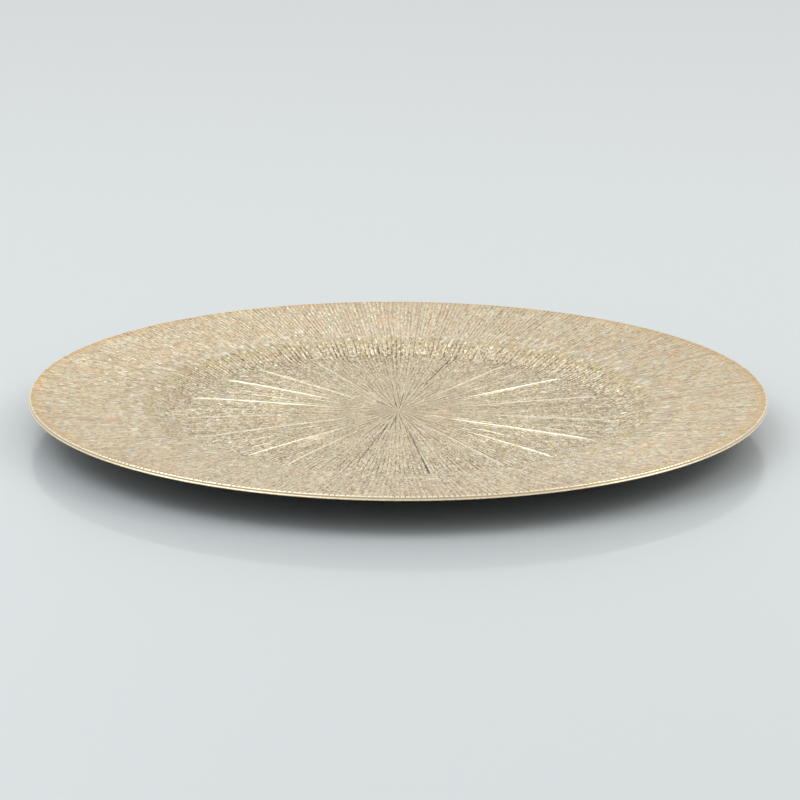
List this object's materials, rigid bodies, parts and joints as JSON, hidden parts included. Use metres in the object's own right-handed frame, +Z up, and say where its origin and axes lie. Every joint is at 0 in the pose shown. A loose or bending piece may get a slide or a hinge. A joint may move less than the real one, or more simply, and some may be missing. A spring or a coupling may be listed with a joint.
{
  "type": "charger plate",
  "caption": "Round charger plate with a wide sloping rim, a flat well, a gold sunburst relief face and a black moulded base on a foot ring.",
  "frame": {"origin": "middle of the foot ring's flat land, on the surface that the plate stands on", "axes": "+Z up along the plate's axis, -Y towards the picture's camera, +X to its right"},
  "size_m": [0.33, 0.33, 0.016],
  "materials": {
    "black_plastic": "satin black moulded plastic",
    "gold_film": "embossed champagne gold metallised film, clear coated"
  },
  "bodies": {
    "root": {"moulded_base": "black_plastic", "gold_face": "gold_film"}
  },
  "joints": []
}
